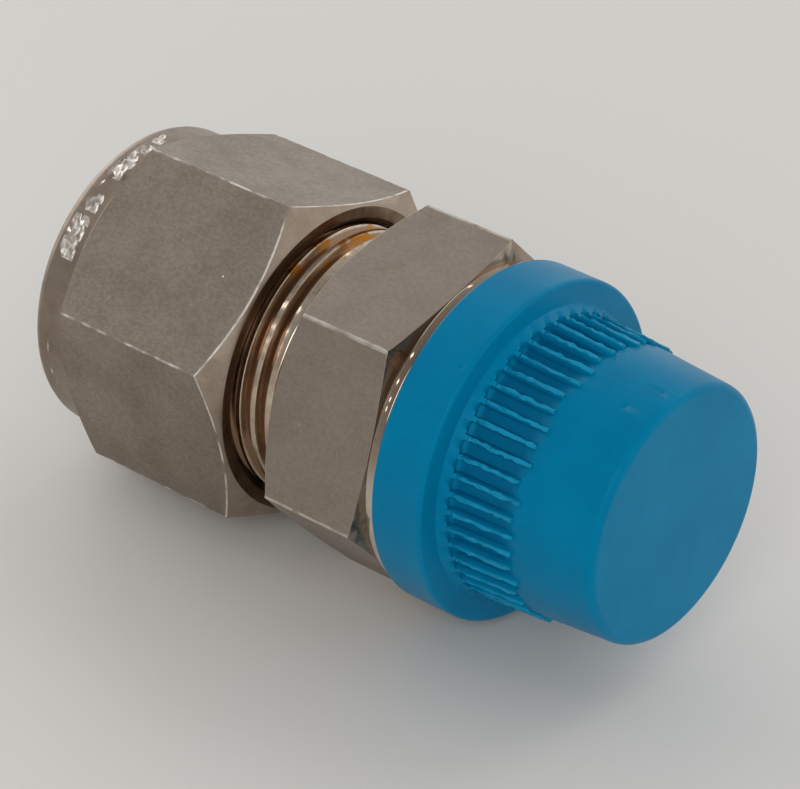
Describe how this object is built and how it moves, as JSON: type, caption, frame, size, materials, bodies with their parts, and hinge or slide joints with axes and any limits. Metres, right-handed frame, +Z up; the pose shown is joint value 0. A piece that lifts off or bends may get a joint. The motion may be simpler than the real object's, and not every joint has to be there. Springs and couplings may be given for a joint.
{
  "type": "male tube connector",
  "caption": "Straight male tube connector: hexagon nut over ferrules, hexagon body and a taper pipe thread under a ribbed push-on cap.",
  "frame": {"origin": "on the flow axis, in the rear face of the body hexagon, inside the tube socket", "axes": "+X along the flow axis from the nut to the pipe thread, +Z up with the connector lying on a nut corner and a body corner"},
  "size_m": [0.0462, 0.0246, 0.0246],
  "materials": {
    "body_steel": "bar-drawn hexagon flats, satin, with turned and polished neck and chamfers",
    "nut_steel": "bar-drawn hexagon flats, satin, with turned shoulder",
    "ferrule_steel": "fine turned",
    "cap_plastic": "soft moulded polyethylene, low gloss"
  },
  "bodies": {
    "body": {"connector_body": "body_steel"},
    "ferrules": {"front_ferrule": "ferrule_steel", "back_ferrule": "ferrule_steel"},
    "nut": {"nut": "nut_steel"},
    "cap": {"protective_cap": "cap_plastic"}
  },
  "joints": [
    {"name": "ferrule_slide", "type": "slide", "parent": "body", "child": "ferrules", "axis": [1, 0, 0], "range_m": [-0.00636, 0]},
    {"name": "nut_turn", "type": "hinge", "parent": "ferrules", "child": "nut", "pos_m": [0, 0, 0], "axis": [1, 0, 0], "range_deg": [-1800, 0]},
    {"name": "cap_pull", "type": "slide", "parent": "body", "child": "cap", "axis": [1, 0, 0], "range_m": [0, 0.0165]}
  ],
  "couplings": [
    {"joint": "ferrule_slide", "follows": "nut_turn", "m_per_rad": 0.00020213}
  ]
}
